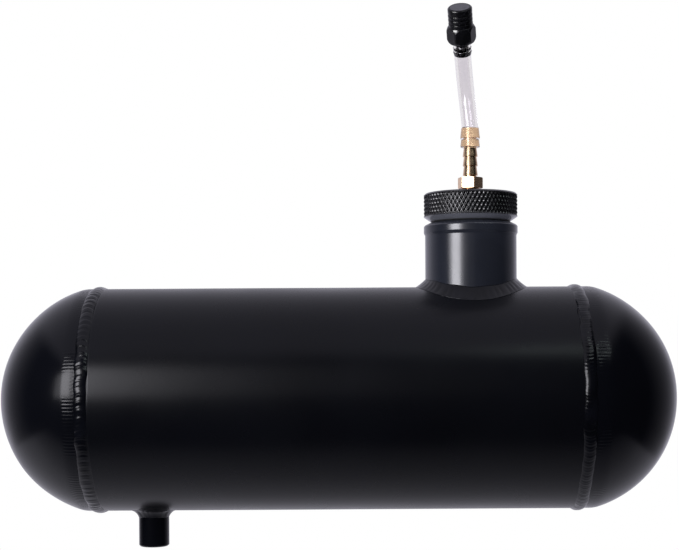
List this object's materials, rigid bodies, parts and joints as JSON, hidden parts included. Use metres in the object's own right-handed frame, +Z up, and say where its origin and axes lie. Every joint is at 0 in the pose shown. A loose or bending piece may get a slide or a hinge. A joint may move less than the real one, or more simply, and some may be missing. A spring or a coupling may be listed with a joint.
{
  "type": "vented fluid tank",
  "caption": "Horizontal cylindrical tank with domed welded ends, a screw-capped filler neck carrying a hose and breather valve, and a threaded outlet underneath.",
  "frame": {"origin": "on the barrel's axis, half-way between the two girth welds", "axes": "+X along the barrel towards the filler neck's end, +Z up along the neck's axis, the outlet pointing to -Z"},
  "size_m": [0.385, 0.1296, 0.3064],
  "materials": {
    "coated_shell": "satin black powder coat on spun and rolled sheet",
    "coated_weld": "black powder coat over a rippled weld bead",
    "coated_neck": "semi-gloss black coat on turned metal",
    "anodised_cap": "black anodised, diamond knurled rim",
    "anodised_valve": "glossy black anodised",
    "turned_brass": "turned, bright",
    "clear_hose": "clear soft plastic",
    "seal_rubber": "matt black",
    "polished_steel": "polished"
  },
  "bodies": {
    "tank": {"barrel": "coated_shell", "head_left": "coated_shell", "head_right": "coated_shell", "girth_weld_left": "coated_weld", "girth_weld_right": "coated_weld", "filler_neck": "coated_neck", "neck_weld": "coated_weld", "outlet_bung": "coated_neck", "bung_weld": "coated_weld"},
    "cap_seal": {"cap_o_ring": "seal_rubber"},
    "cap": {"filler_cap": "anodised_cap", "vent_barb_fitting": "turned_brass", "vent_hose": "clear_hose", "valve_body": "anodised_valve", "valve_top": "anodised_valve", "valve_o_ring": "seal_rubber", "valve_seat": "seal_rubber"},
    "check_ball": {"valve_ball": "polished_steel"}
  },
  "joints": [
    {"name": "cap_lift", "type": "slide", "parent": "tank", "child": "cap_seal", "axis": [0, 0, 1], "range_m": [0, 0.0135]},
    {"name": "cap_turn", "type": "hinge", "parent": "cap_seal", "child": "cap", "pos_m": [0.07595, 0, 0.1], "axis": [0, 0, 1], "range_deg": [0, 1620]},
    {"name": "ball_lift", "type": "slide", "parent": "cap", "child": "check_ball", "axis": [-0.0926, -0.5563, 0.8258], "range_m": [0, 0.0025]}
  ],
  "couplings": [
    {"joint": "cap_lift", "follows": "cap_turn", "m_per_rad": 0.00047746}
  ]
}
